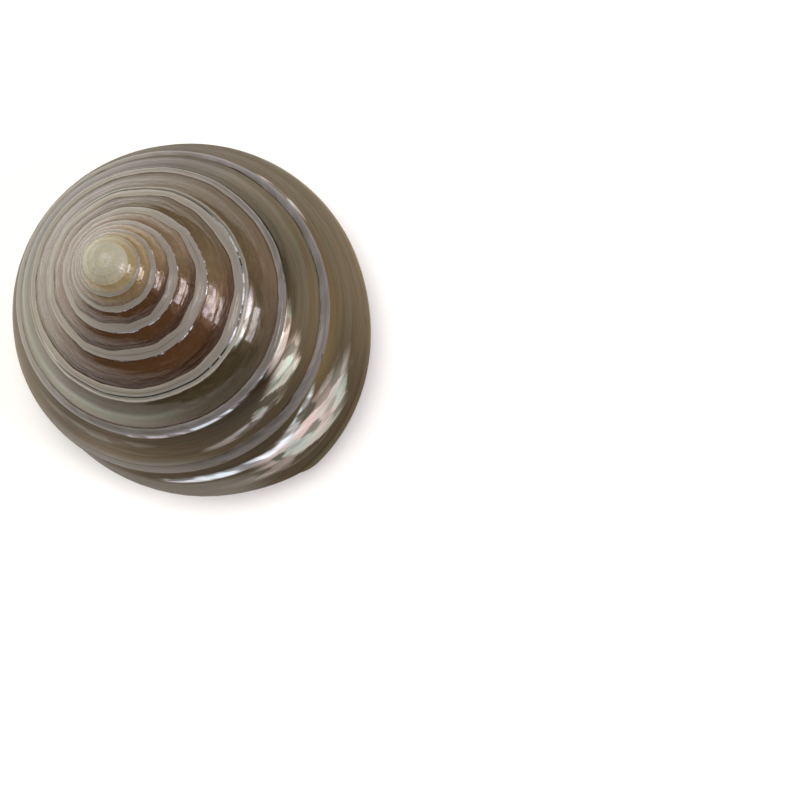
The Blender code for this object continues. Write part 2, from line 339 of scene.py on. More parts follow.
def placed(turn, flat):
    angle = -2 * math.pi * turn
    radius = flat[..., 0]
    return np.stack([radius * np.cos(angle), radius * np.sin(angle), -flat[..., 1]], -1)


# The mesh is built of sites. Sites that are one point share a vertex, but each keeps its own
# marks: turn, place across the whorl, millimetres across it, and zone inside the mouth.
markNames = ("turn", "across", "span", "inside")


class Skin:
    def __init__(self):
        self.places = []
        self.marks = []
        self.same = []
        self.faces = []
        self.count = 0

    def sites(self, places, turn, across, span, inside):
        shape = places.shape[:-1]
        ids = np.arange(self.count, self.count + int(np.prod(shape))).reshape(shape)
        self.count += ids.size
        self.places.append(places.reshape(-1, 3))
        marks = [np.broadcast_to(mark, shape).reshape(-1) for mark in (turn, across, span, inside)]
        self.marks.append(np.stack(marks, -1))
        return ids

    def at(self, ids):
        return np.concatenate(self.places)[ids]

    def weld(self, ids, onto):
        self.same.append((np.ravel(ids), np.ravel(onto)))

    def sheet(self, ids):
        quads = np.stack([ids[:-1, :-1], ids[:-1, 1:], ids[1:, 1:], ids[1:, :-1]], -1)
        self.faces.extend(quads.reshape(-1, 4).tolist())

    def lace(self, one, other):
        oneWay = self.distances(one)
        otherWay = self.distances(other)
        i = j = 0
        while i < len(one) - 1 or j < len(other) - 1:
            if j == len(other) - 1 or (i < len(one) - 1 and oneWay[i + 1] <= otherWay[j + 1]):
                self.faces.append([one[i], one[i + 1], other[j]])
                i += 1
            else:
                self.faces.append([one[i], other[j + 1], other[j]])
                j += 1

    def distances(self, ids):
        way = np.cumsum(np.linalg.norm(np.diff(self.at(ids), axis=0), axis=1))
        return np.concatenate([[0], way / way[-1]])

    def fan(self, ring, middle):
        for i in range(len(ring)):
            self.faces.append([ring[i - 1], ring[i], middle])

    def mesh(self, name):
        vertex = np.arange(self.count)
        for ids, onto in self.same:
            vertex[ids] = vertex[onto]
        used, vertex = np.unique(vertex, return_inverse=True)
        faces = []
        corners = []
        for face in self.faces:
            kept = [site for i, site in enumerate(face) if vertex[site] != vertex[face[i - 1]]]
            if len(kept) > 2:
                faces.append([int(vertex[site]) for site in kept])
                corners.extend(kept)
        data = bpy.data.meshes.new(name)
        data.from_pydata((np.concatenate(self.places)[used] * mm).tolist(), [], faces)
        marks = np.concatenate(self.marks)[corners]
        for i, mark in enumerate(markNames):
            layer = data.attributes.new(mark, "FLOAT", "CORNER")
            layer.data.foreach_set("value", marks[:, i].astype(np.float32))
        return data


def stepsOf(start, end):
    return np.arange(round(start * perTurn), round(end * perTurn) + 1) / perTurn


def moveAhead(turn, flat, ahead):
    return placed(turn + ahead / (2 * math.pi * flat[..., 0]), flat)


def faceGrid(step, inset=0.0, ahead=0.0):
    faceRows = np.array(topShell["faceRows"])
    bandRows = np.array(topShell["bandRows"])
    across = np.concatenate([faceRows, 1 + bandRows])
    step, across = np.broadcast_arrays(step[:, None], across[None, :])
    onFace = np.minimum(across, 1)
    onBand = np.maximum(across - 1, 0)
    start = bandFrom(step)
    along = onFace * start + onBand * (1 - start)
    turn = faceTurn(step, along)
    length = np.linalg.norm(keel(turn) - keel(np.maximum(turn - 1, 0)), axis=-1)
    nearEdge = smoothStep((onFace - 0.55) / 0.45) * (1 - smoothStep(onBand / 0.9))
    along = along + facetWave(turn) * nearEdge / np.maximum(length, 1)
    faceHeight = np.interp(onFace, *topShell["faceHeight"])
    bandHeight = np.interp(onBand, *topShell["bandHeight"])
    relief = rise(turn, *topShell["reliefStart"])
    relief = relief * (1 - topShell["reliefLost"] * rise(turn, *topShell["reliefEnd"]))
    bodyWhorl = rise(turn, *topShell["bodyStart"])
    plainHeight = topShell["bodyBulge"] * np.sin(math.pi * along)
    height = np.where(onBand > 0, bandHeight * relief, faceHeight * (0.6 + 0.4 * relief))
    height = height * (1 - bodyWhorl) + plainHeight * bodyWhorl
    below = turn - 1
    thread = rise(below, *topShell["threadStart"]) * (1 - rise(below, *topShell["threadEnd"]))
    fromThread = (onFace - topShell["threadPlace"]) / topShell["threadWidth"]
    height = height + thread * topShell["threadRaised"] * np.exp(-(fromThread**2))
    flat = facePoint(turn, along, height, inset)
    return moveAhead(turn, flat, ahead), turn, across, along * length


# The rim and the base, from the keel inwards: the rim's first rows, then the sliding rows.
def lipShares():
    return np.arange(topShell["lipRows"] + 1) / topShell["lipRows"]


def slidingWays():
    cordRows = whorls["cords"] * topShell["rowsPerCord"]
    corded = np.linspace(whorls["cordOuter"], whorls["cordInner"], cordRows + 1)
    lead = np.linspace(whorls["cordInner"], whorls["ceilingEnd"], topShell["leadRows"] + 1)[1:]
    end = whorls["ceilingEnd"] + (whorls["foot"] - whorls["ceilingEnd"]) * lipShares()[1:]
    inner = 1 + (rimEdge - np.concatenate([corded, lead, end])) / cordWay
    return np.concatenate([np.linspace(0, 2, topShell["keelRows"] + 1)[:-1], inner])


def slidingGrid(step, inset=0.0, ahead=0.0):
    step, way = np.broadcast_arrays(step[:, None], slidingWays()[None, :])
    way = slidWay(step, way)
    distance = wayDistance(way)
    turn = baseTurn(step, distance)
    flat = wayPoint(turn, way, inset)
    span = keelRadius(turn) * (1 - distance)
    return moveAhead(turn, flat, ahead), turn, 3 - distance, span


def outerGrid(step, inset=0.0, ahead=0.0):
    shares = lipShares()[:-1]
    angles = whorls["keelAngle"] + (whorls["ceilingAngle"] - whorls["keelAngle"]) * shares
    rimStep, angle = np.broadcast_arrays(step[:, None], angles[None, :])
    turn = baseTurn(rimStep, np.ones_like(rimStep)) + whorls["lipBack"][-1] * (1 - shares)
    rim = moveAhead(turn, rimPoint(turn, angle, inset), ahead)
    sliding = slidingGrid(step, inset, ahead)
    first = (rim, turn, np.full_like(turn, 2), np.zeros_like(turn))
    return [np.concatenate(pair, 1) for pair in zip(first, sliding)]


def mouthLine(along):
    first, last = topShell["linesBetween"]
    if not first < along < last:
        return 0
    crest = max(math.cos(2 * math.pi * topShell["linesInMouth"] * along), 0)
    return crest ** topShell["lineSharp"] * topShell["lineRaised"]


def hollowGrid(step):
    taper = smoothStep(behindLip(step, whorls["lipTaperTurns"]))
    wall = whorls["lipWall"] + (whorls["wall"] - whorls["lipWall"]) * taper
    cornerWay = slidWay(step - 1, np.zeros_like(step))
    cornerTurn = baseTurn(step - 1, wayDistance(cornerWay))
    corner = wayPoint(cornerTurn, cornerWay)
    rim = rimPoint(baseTurn(step, np.ones_like(step)), 0.0, wall)
    chord = rim - corner
    inwards = np.stack([-chord[:, 1], chord[:, 0]], -1) / np.linalg.norm(chord, axis=-1)[:, None]
    parts = []
    ease = topShell["roofEase"]
    for along in np.arange(1, topShell["roofRows"]) / topShell["roofRows"]:
        blend = min(along / ease, 1)
        turn = (cornerTurn + 1) * (1 - blend) + faceTurn(step, max(along, ease)) * blend
        flat = corner + chord * along + inwards * mouthLine(along)
        parts.append((turn, flat, along))
    for angle in np.linspace(0, 90, topShell["mouthRimRows"]):
        turn = baseTurn(step, 1 - (1 - rimEdge) * angle / 90)
        parts.append((turn, rimPoint(turn, angle, wall), 2 + (1 - rimEdge) * angle / 90))
    floorStart, floorRows = topShell["mouthFloorStart"], topShell["mouthFloorRows"]
    for distance in np.linspace(floorStart, whorls["cordInner"], floorRows):
        turn = baseTurn(step, distance)
        parts.append((turn, basePoint(turn, distance, 0.0, wall), 3 - distance))
    turn = np.stack([part[0] for part in parts], 1)
    flat = np.stack([part[1] for part in parts], 1)
    across = np.broadcast_to([part[2] for part in parts], turn.shape)
    return placed(turn, flat), turn, across


# The mark inside tells the zones apart. The pillar and the roof have plain marks otherwise.
outside, ceilingZone, hollowZone, pillarZone, toothZone = 0.0, 1.0, 2.0, 3.0, 4.0
pillarAcross, lipPillarAcross = 1.7, 1.8
roofSpan = 10
pillarShares = np.arange(1, topShell["pillarRows"]) / topShell["pillarRows"]


def buildSkin():
    skin = Skin()
    step = stepsOf(0, whorls["mouthTurn"])
    face = skin.sites(*faceGrid(step), outside)
    tip = skin.sites(np.zeros((1, 3)), 0.0, 0.0, 0.0, outside)
    skin.weld(face[:perTurn, 0], np.repeat(tip, perTurn))
    skin.weld(face[0, :-1], np.repeat(tip, face.shape[1] - 1))
    skin.weld(face[perTurn:, 0], face[:-perTurn, -1])
    skin.sheet(face)
    outer = skin.sites(*outerGrid(stepsOf(firstOpen, whorls["mouthTurn"])), outside)
    skin.weld(outer[:, 0], face[-len(outer) :, -1])
    skin.sheet(outer)
    lip = topShell["lipRows"]
    ceilingSteps = stepsOf(hollowStart - 1, firstOpen)
    grid = [part[:, :-lip] for part in slidingGrid(ceilingSteps)]
    ceiling = skin.sites(*grid, ceilingZone)
    skin.weld(ceiling[-1], outer[0, lip:-lip])
    skin.sheet(ceiling)
    hollow = addHollow(skin, ceiling)
    addLip(skin, face, outer, hollow)
    addTooth(skin)
    return skin


def addHollow(skin, ceiling):
    step = stepsOf(hollowStart, whorls["mouthTurn"])
    places, turn, across = hollowGrid(step)
    hollow = skin.sites(places, turn, across, across * roofSpan, hollowZone)
    foot = places[:, -1:, :]
    top = skin.at(ceiling[:, -1])[:, None, :]
    rows = foot + (top - foot) * pillarShares[None, :, None]
    pillar = skin.sites(rows, turn[:, -1:], pillarAcross, 0.0, pillarZone)
    first = skin.sites(skin.at(ceiling[:, 0])[:, None, :], turn[:, :1], 0.0, 0.0, hollowZone)
    last = skin.sites(top, turn[:, -1:], pillarAcross, 0.0, pillarZone)
    skin.weld(first[:, 0], ceiling[:, 0])
    skin.weld(last[:, 0], ceiling[:, -1])
    ring = np.concatenate([first, hollow, pillar, last], 1)
    skin.sheet(ring)
    end = np.concatenate([ceiling[0], ring[0, -2:0:-1]])
    middle = skin.at(end).mean(0)[None]
    skin.fan(end, skin.sites(middle, hollowStart, 1.0, 0.0, hollowZone)[0])
    return ring


def addLip(skin, face, outer, hollow):
    lip = topShell["lipRows"]
    last = np.array([whorls["mouthTurn"]])
    lines = []
    for k in range(lip):
        bend = math.pi * k / lip
        inset = whorls["lipWall"] / 2 * (1 - math.cos(bend))
        ahead = whorls["lipRound"] * math.sin(bend)
        grids = (faceGrid(last, inset, ahead), outerGrid(last, inset, ahead))
        line = [np.concatenate([one[0], other[0, 1:]]) for one, other in zip(*grids)]
        ids = skin.sites(*line, outside + hollowZone * (k > 0))
        if k == 0:
            skin.weld(ids, np.concatenate([face[-1], outer[-1, 1:]]))
        else:
            skin.weld(ids[:1], outer[0, k : k + 1])
        foot = line[0][-1]
        top = skin.at(outer[0, -1 - k])
        rows = foot + (top - foot) * pillarShares[:, None]
        pillar = skin.sites(rows, line[1][-1], lipPillarAcross, 0.0, pillarZone)
        end = skin.sites(top[None], line[1][-1], lipPillarAcross, 0.0, pillarZone)
        skin.weld(end, outer[0, -1 - k : len(outer[0]) - k])
        lines.append(np.concatenate([ids, pillar, end]))
    lines = np.stack(lines)
    skin.sheet(lines)
    skin.lace(lines[-1], hollow[-1])
    footColumn = len(lines[0]) - len(pillarShares) - 2
    addNavel(skin, np.concatenate([outer[:-1, -1], lines[0, footColumn:-1]]))


def addNavel(skin, ring):
    edge = skin.at(ring)
    middle = edge.mean(0) + np.array([0, 0, whorls["navelRise"]])
    rings = [ring]
    slope = topShell["navelSlope"]
    wellStart, wellWidth = topShell["navelWell"]
    for size in topShell["navelRings"]:
        places = middle + (edge - middle) * size
        up = slope * smoothStep((1 - size) * topShell["navelEase"])
        up = up + (1 - slope) * smoothStep((wellStart - size) / wellWidth)
        places[:, 2] = edge[:, 2] + (middle[2] - edge[:, 2]) * up
        rings.append(skin.sites(places, whorls["mouthTurn"], 3 - whorls["foot"] * size, 0.0, outside))
    rings = np.stack(rings)
    skin.sheet(np.concatenate([rings, rings[:, :1]], 1))
    skin.fan(rings[-1], skin.sites(middle[None], whorls["mouthTurn"], 3.0, 0.0, outside)[0])


def addTooth(skin):
    points = np.array(topShell["tooth"])
    way = np.linspace(0, len(points) - 1, topShell["toothRings"])
    ahead, distance, raised, half = [spline(points[:, i])(way) for i in range(4)]
    last = whorls["mouthTurn"]
    footTurn = baseTurn(np.array([last]), whorls["foot"])
    foot = basePoint(footTurn, whorls["foot"])[0]
    flat = np.stack([distance * lastRadius, foot[1] - raised], -1)
    middles = placed(footTurn + ahead, flat)
    along = np.gradient(middles, axis=0)
    along /= np.linalg.norm(along, axis=1)[:, None]
    sideways = np.cross(along, [0, 0, 1])
    sideways /= np.linalg.norm(sideways, axis=1)[:, None]
    up = np.cross(sideways, along)
    ends = np.clip(np.minimum(way, len(points) - 1 - way) / topShell["toothRound"], 0, 1)
    half = half * np.sqrt(1 - (1 - ends) ** 2 + 1e-4)  # the ends are round, but not quite points
    angle = np.linspace(0, 2 * math.pi, topShell["toothSides"] + 1)[None, :, None]
    reach = sideways[:, None] * np.cos(angle) + up[:, None] * np.sin(angle)
    places = middles[:, None] + reach * half[:, None, None]
    tube = skin.sites(places, last, way[:, None] / len(points), 0.0, toothZone)
    skin.weld(tube[:, -1], tube[:, 0])
    skin.sheet(tube)
    for ring, middle in ((tube[0], middles[:1]), (tube[-1], middles[-1:])):
        skin.fan(ring[:-1], skin.sites(middle, last, 0.0, 0.0, toothZone)[0])


def addObject(name, data):
    obj = bpy.data.objects.new(name, data)
    bpy.context.scene.collection.objects.link(obj)
    return obj


def makePiece():
    data = buildSkin().mesh("topShell")
    turned = bmesh.new()
    turned.from_mesh(data)
    bmesh.ops.recalc_face_normals(turned, faces=turned.faces)
    turned.to_mesh(data)
    turned.free()
    data.shade_smooth()
    side = math.radians(whorls["leanTowards"])
    hinge = Vector((-math.sin(side), math.cos(side), 0))
    data.transform(Matrix.Rotation(math.radians(whorls["lean"]), 4, hinge))
    places = np.empty(len(data.vertices) * 3, np.float32)
    data.vertices.foreach_get("co", places)
    places = places.reshape(-1, 3)
    boxLow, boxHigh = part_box("shell")
    low, high = places.min(0), places.max(0)
    middle = (Vector(low) + Vector(high)) / 2
    boxMiddle = (boxLow + boxHigh) / 2
    data.transform(Matrix.Translation((boxMiddle.x - middle.x, boxMiddle.y - middle.y, boxLow.z - low[2])))
    return addObject("topShell", data)


# A value in a material, with the usual arithmetic.
class Wire:
    def __init__(self, tree, socket):
        self.tree = tree
        self.socket = socket

    def math(self, operation, *others):
        values = dict(enumerate((self, *others)))
        return self.tree.node("ShaderNodeMath", {"operation": operation}, values)["Value"]

    def __add__(self, other):
        return self.math("ADD", other)

    def __sub__(self, other):
        return self.math("SUBTRACT", other)

    def __mul__(self, other):
        return self.math("MULTIPLY", other)

    def __truediv__(self, other):
        return self.math("DIVIDE", other)

    def __radd__(self, other):
        return self.math("ADD", other)

    def __rmul__(self, other):
        return self.math("MULTIPLY", other)

    def __rsub__(self, other):
        return (self * -1.0).math("ADD", other)


class Tree:
    def __init__(self, owner):
        owner.use_nodes = True
        self.nodes = owner.node_tree.nodes
        self.links = owner.node_tree.links
        self.nodes.clear()

    def node(self, kind, settings=None, values=None):
        made = self.nodes.new(kind)
        for name, value in (settings or {}).items():
            setattr(made, name, value)
        for name, value in (values or {}).items():
            if isinstance(value, Wire):
                self.links.new(value.socket, made.inputs[name])
            else:
                made.inputs[name].default_value = value
        return {output.name: Wire(self, output) for output in made.outputs if output.enabled}

    def mark(self, name):
        return self.node("ShaderNodeAttribute", {"attribute_name": name})["Fac"]

    def place(self, x, y, z=0.0):
        return self.node("ShaderNodeCombineXYZ", {}, {"X": x, "Y": y, "Z": z})["Vector"]

    def noise(self, vector, detail=3.0, roughness=0.55):
        values = {"Vector": vector, "Scale": 1.0, "Detail": detail, "Roughness": roughness}
        return self.node("ShaderNodeTexNoise", {}, values)["Fac"]

    def ramp(self, value, low, high, start=0.0, end=1.0):
        values = {"Value": value, "From Min": low, "From Max": high, "To Min": start, "To Max": end}
        return self.node("ShaderNodeMapRange", {"interpolation_type": "SMOOTHSTEP"}, values)["Result"]

    def fade(self, value, low, high):
        return self.ramp(value, low, high, 1.0, 0.0)

    def between(self, value, low, full, last, high):
        return self.ramp(value, low, full) * self.fade(value, last, high)

    def mix(self, share, one, other, blend="MIX"):
        settings = {"data_type": "RGBA", "blend_type": blend, "clamp_factor": True}
        return self.node("ShaderNodeMix", settings, {0: share, 6: one, 7: other})["Result"]

    def shade(self, share, colour, factor):
        return self.mix(share, colour, self.mix(1.0, colour, factor, "MULTIPLY"))


# What a user would change of the nacre. The sides are degrees round the shell, with the whorls:
# where the whorls get the darkest painted shade, where a painted reflection is brightest, where
# the upper sides get painted shade, and the right, where bands get painted shade, glints are
# painted and highlights break up.
nacreSides = {"dark": 72.0, "light": 200.0, "upper": 280.0, "right": 20.0}

colours = {
    "nucleus": (0.315, 0.3, 0.235, 1),
    "ringYellow": (0.3, 0.255, 0.15, 1),
    "ochre": (0.225, 0.16, 0.075, 1),
    "tan": (0.17, 0.12, 0.068, 1),
    "olive": (0.11, 0.084, 0.042, 1),
    "oliveLight": (0.15, 0.13, 0.088, 1),
    # brown, darkOlive and darkTaupe are painted shade, put on the shaded side and on one whorl
    "brown": (0.066, 0.031, 0.012, 1),
    "darkOlive": (0.042, 0.031, 0.014, 1),
    "darkTaupe": (0.043, 0.03, 0.015, 1),
    # rim is painted shade on the keel
    "rim": (0.08, 0.06, 0.03, 1),
    "ledge": (0.14, 0.126, 0.092, 1),
    # milkGreen and milkPink are a painted reflection on one whorl
    "milkGreen": (0.2, 0.225, 0.17, 1),
    "milkPink": (0.2, 0.16, 0.145, 1),
    "golden": (0.14, 0.094, 0.038, 1),
    # pinkTaupe and greenGrey are a painted pale reflection, put on the lit side
    "pinkTaupe": (0.165, 0.11, 0.085, 1),
    "greenGrey": (0.13, 0.137, 0.104, 1),
    "band": (0.275, 0.25, 0.208, 1),
    # bandLight is painted light on the bands of the lit side
    "bandLight": (0.29, 0.27, 0.235, 1),
    "bandGrey": (0.15, 0.138, 0.125, 1),
    # shadowLine is partly painted shadow, partly the shell's own red-brown
    "shadowLine": (0.05, 0.017, 0.006, 1),
    "sutureGreen": (0.01, 0.022, 0.016, 1),
    "thread": (0.27, 0.25, 0.21, 1),
    "bandLilac": (0.2, 0.187, 0.186, 1),
    "baseBrown": (0.085, 0.066, 0.04, 1),
    # silver is partly painted reflection on the base
    "silver": (0.46, 0.45, 0.43, 1),
    "groove": (0.13, 0.092, 0.045, 1),
    "cord": (0.42, 0.39, 0.35, 1),
    "callus": (0.45, 0.41, 0.36, 1),
    "callusTan": (0.33, 0.275, 0.2, 1),
    "mouth": (0.5, 0.43, 0.28, 1),
    "speck": (0.16, 0.1, 0.04, 1),
    "tooth": (0.6, 0.58, 0.55, 1),
    # pink and green tint the painted sheens and the base's silver
    "pink": (0.72, 0.58, 0.52, 1),
    "green": (0.56, 0.62, 0.55, 1),
    # white is painted highlight, for the glints and the whitest sheens
    "white": (0.85, 0.9, 1.0, 1),
}

# What the colours are multiplied by, in places. The grain and play ones and the band's grain are
# the shell's own; the low, first-whorl, right-band, far-side and upper ones are painted shade, and
# pale is painted light.
shades = {
    "grainDark": (0.94, 0.935, 0.93, 1),
    "grainLight": (1.05, 1.05, 1.05, 1),
    "pinkPlay": (1.07, 0.97, 0.96, 1),
    "greenPlay": (0.93, 1.04, 1.0, 1),
    "lowShadeBrown": (0.4, 0.29, 0.2, 1),
    "lowShadeOlive": (0.7, 0.64, 0.55, 1),
    "firstWhorlShade": (0.82, 0.76, 0.64, 1),
    "pale": (1.8, 1.82, 1.75, 1),
    "rightBandShade": (0.68, 0.69, 0.7, 1),
    "bandDark": (0.75, 0.74, 0.73, 1),
    "bandBright": (1.15, 1.15, 1.15, 1),
    "farSide": (0.85, 0.74, 0.55, 1),
    "upper": (0.55, 0.55, 0.5, 1),
    "upperOuter": (0.42, 0.44, 0.4, 1),
    "outerWhorls": (0.8, 0.78, 0.76, 1),
}

# Painted sheens: reflections painted onto the nacre, tinted with its pink and green. From and
# to in turns, from and to across the face, half width across, amount, how ragged, and how white.
paintedSheens = (
    (10.03, 10.17, 0.6, 0.52, 0.42, 0.8, 1.8, 0.1),
    (10.07, 10.15, 0.06, 0.34, 0.09, 1.0, 0.5, 1.0),
    (10.11, 10.26, 0.36, 0.17, 0.09, 1.0, 2.0, 1.0),
    (10.12, 10.22, 0.75, 0.6, 0.1, 0.4, 2.0, 0.3),
    (9.03, 9.14, 0.4, 0.55, 0.24, 0.8, 2.4, 0.0),
    (9.0, 9.09, 0.1, 0.1, 0.09, 0.75, 1.2, 0.1),
    (9.065, 9.29, 0.02, 0.05, 0.05, 0.95, 0.8, 1.0),
    (9.83, 9.9, 0.06, 0.08, 0.07, 0.9, 1.0, 0.5),
    (9.1, 9.2, 0.62, 0.7, 0.1, 0.5, 1.6, 0.6),
    (9.25, 9.4, 0.3, 0.4, 0.12, 0.2, 1.6, 0.5),
    (7.99, 8.1, 0.2, 0.12, 0.11, 0.75, 1.4, 0.35),
)

# One nacre covers the whole shell. It is worked out from the mesh's marks, from noises that
# run with the whorls, and from which side of the shell a place is on, which sets where shade
# and light are painted. Across is 0 to 1 on a whorl's face, 1 to 2 on its white band, then 3
# less the share of the radius on the base.
class Nacre:
    def __init__(self, material):
        self.tree = tree = Tree(material)
        self.turn, self.across, self.span, self.inside = [tree.mark(name) for name in markNames]
        turn, span = self.turn, self.span
        self.onFace = tree.fade(self.inside, 0.4, 0.6)
        self.wide = tree.noise(tree.place(turn * 2.2, span * 0.5, 2.0), 2)
        self.blotch = tree.noise(tree.place(turn * 5.0, span * 0.35, turn * 0.5), 2)
        self.spiral = tree.noise(tree.place(turn * 1.6, span * 0.75, 9.0), 3)
        self.fibre = tree.noise(tree.place(turn * 3.0, span * 8.0, 4.0), 3)
        self.growth = tree.noise(tree.place(turn * 40.0 + span * 0.6, span * 0.3, 5.0), 3)
        self.streaks = tree.noise(tree.place(turn * 3.0, span * 0.55 + turn * 4.0, 6.0), 2)
        self.tongues = tree.noise(tree.place(turn * 7.0, span * 1.0 + turn * 22.0, 1.0), 3)
        self.fine = self.fibre * 0.25 + self.spiral * 0.75
        self.breaks = self.growth * 0.7 + self.tongues * 0.3
        self.darkSide, self.lightSide, self.upperSide, self.rightSide = [
            (turn * (2 * math.pi) - math.radians(side)).math("COSINE") for side in nacreSides.values()
        ]

    def spire(self):
        tree, turn = self.tree, self.turn
        ringed = tree.ramp(self.across + self.growth * 0.2, 0.8, 1.1, 0.0, 0.35)
        colour = tree.mix(ringed, colours["nucleus"], colours["ringYellow"])
        olive = tree.mix(tree.ramp(self.streaks, 0.4, 0.65), colours["olive"], colours["oliveLight"])
        steps = (
            (2.0, 2.9, colours["ringYellow"]),
            (2.9, 3.6, colours["ochre"]),
            (4.4, 5.4, colours["tan"]),
            (8.2, 9.2, olive),
        )
        shifted = turn + (self.blotch - 0.5) * 0.7
        for start, end, whorlColour in steps:
            colour = tree.mix(tree.ramp(shifted, start, end), colour, whorlColour)
        # On one side the whorls get painted shade in dark browns, and on the other a painted pale
        # reflection in pinkish and greenish taupe.
        dark = tree.mix(tree.ramp(shifted, 7.3, 7.9), colours["brown"], colours["darkOlive"])
        dark = tree.mix(tree.ramp(shifted, 8.6, 9.2), dark, colours["darkTaupe"])
        light = tree.mix(tree.ramp(self.spiral, 0.42, 0.58), colours["pinkTaupe"], colours["greenGrey"])
        uneven = (self.blotch - 0.5) * 0.5
        shadeShare = tree.ramp(self.darkSide + uneven, -0.1, 0.75) * tree.ramp(turn, 3.4, 5.2)
        litShare = tree.ramp(self.lightSide + uneven, 0.2, 0.9) * tree.ramp(turn, 2.6, 3.6, 0.0, 0.9)
        colour = tree.mix(shadeShare, colour, dark)
        return tree.mix(litShare, colour, light)

    # A golden stretch by the suture, painted shade on the keel that is strongest on the shaded
    # side, and on one whorl painted shade above and a milky painted reflection below.
    def patches(self, colour):
        tree, turn, across = self.tree, self.turn, self.across
        golden = tree.ramp(across, 0.0, 0.45, 0.9, 0.0) * tree.between(turn, 9.75, 9.9, 10.05, 10.15)
        colour = tree.mix(golden, colour, colours["golden"])
        rim = tree.ramp(across, 1.6, 2.0) * tree.ramp(turn, 9.2, 9.6) * self.onFace
        colour = tree.mix(rim * (self.darkSide * 0.5 + 0.5), colour, colours["rim"])
        unevenAcross = across + (self.blotch - 0.5) * 0.3
        milkReflection = tree.ramp(unevenAcross, 0.35, 0.55) * tree.between(turn, 8.15, 8.3, 8.5, 8.75)
        milky = tree.mix(tree.ramp(across, 0.7, 0.95), colours["milkGreen"], colours["milkPink"])
        colour = tree.mix(milkReflection * self.onFace * 0.8, colour, milky)
        shaded = tree.ramp(unevenAcross, 0.4, 0.6, 0.8, 0.0) * tree.between(turn, 7.9, 8.1, 8.25, 8.45)
        return tree.mix(shaded * self.onFace, colour, colours["darkOlive"])

    # Chips of nacre, drawn out along the whorls, each with its own tint. They break up and tint the
    # painted sheens, and tint the base's silver.
    def chips(self):
        tree, turn = self.tree, self.turn
        around = turn * 42.0 + self.tongues * 1.6 + self.growth * 0.8
        down = self.span * 0.75 + turn * 9.0 + self.fibre * 0.9
        values = {"Vector": tree.place(around, down, 3.0), "Scale": 1.0, "Smoothness": 0.35}
        cell = tree.node("ShaderNodeTexVoronoi", {"feature": "SMOOTH_F1"}, values)["Color"]
        chip = tree.node("ShaderNodeSeparateColor", {}, {"Color": cell})
        tint = tree.mix(tree.ramp(chip["Green"], 0.4, 0.6), colours["pink"], colours["green"])
        dulled = chip["Blue"] + (self.fibre + self.growth - 1.0) * 1.2
        self.tint = tree.mix(tree.ramp(dulled, 0.2, 1.0, 0.0, 0.75), tint, colours["oliveLight"])
        return chip["Red"]

    # The painted sheens over the colour; shine keeps how much of them each place has.
    def shining(self, colour):
        tree = self.tree
        chip = self.chips()
        self.shine = 0.0
        for start, end, first, last, halfAcross, amount, ragged, whiteness in paintedSheens:
            share = (self.turn - start) / (end - start)
            off = (self.across - share * (last - first) - first) / halfAcross
            ends = share * 2.0 - 1.0
            far = off * off + ends * ends + (self.tongues - 0.5) * ragged
            broken = tree.ramp(self.breaks, 0.42, 0.54, 1.0 - whiteness * 0.75, 1.0)
            chipped = tree.ramp(chip, 0.1, 0.45, 0.12 + whiteness * 0.12, 1.0)
            glow = tree.ramp(far, 0.2, 1.3, amount, 0.0) * chipped * self.onFace * broken
            colour = tree.mix(glow, colour, tree.mix(whiteness, self.tint, colours["white"]))
            self.shine = glow.math("MAXIMUM", self.shine)
        return colour

    def grain(self, colour):
        tree, turn, across = self.tree, self.turn, self.across
        grain = tree.mix(tree.ramp(self.fine, 0.35, 0.65), shades["grainDark"], shades["grainLight"])
        colour = tree.mix(1.0, colour, grain, "MULTIPLY")
        play = tree.mix(tree.ramp(self.tongues, 0.4, 0.6), shades["pinkPlay"], shades["greenPlay"])
        colour = tree.shade(tree.ramp(turn, 7.4, 8.4) * self.onFace, colour, play)
        # The lower part of each face gets painted shade, most on the shaded side, less where sheens are
        # painted.
        low = tree.between(across, 0.35, 0.85, 1.9, 2.0) * tree.ramp(turn, 3.6, 4.6) * self.onFace
        low = low * tree.ramp(self.darkSide, -0.3, 0.5, 0.35, 1.0) * tree.ramp(turn, 7.7, 8.1, 1.0, 0.4)
        lower = tree.mix(tree.ramp(turn, 7.6, 8.6), shades["lowShadeBrown"], shades["lowShadeOlive"])
        colour = tree.shade(low * (1.0 - self.shine), colour, lower)
        # The first whorls get painted shade on their right side.
        firstWhorlShade = tree.between(turn, 1.9, 2.7, 3.3, 4.0) * tree.ramp(self.rightSide, -0.2, 0.9)
        colour = tree.shade(firstWhorlShade, colour, shades["firstWhorlShade"])
        # One outer whorl gets painted light, paler towards its keel.
        pale = tree.between(turn, 8.78, 8.9, 9.02, 9.12) * tree.ramp(across, 0.2, 0.7, 0.5, 1.0)
        return tree.shade(pale * self.onFace, colour, shades["pale"])

    # The plain grey strip between the painted sheens and the keel, near the mouth.
    def ledges(self, colour):
        tree, turn, across = self.tree, self.turn, self.across
        edge = across + (turn - 10.2) * 3.0 + (self.blotch - 0.5) * 0.15
        ledge = tree.ramp(edge, 0.32, 0.45) * tree.ramp(turn, 10.15, 10.2)
        ledge = ledge + tree.ramp(across, 0.7, 1.1) * tree.between(turn, 9.18, 9.24, 9.34, 9.42)
        self.ledge = ledge * tree.fade(across, 1.95, 2.05) * self.onFace
        return tree.mix(self.ledge * (1.0 - self.shine * 0.7), colour, colours["ledge"])

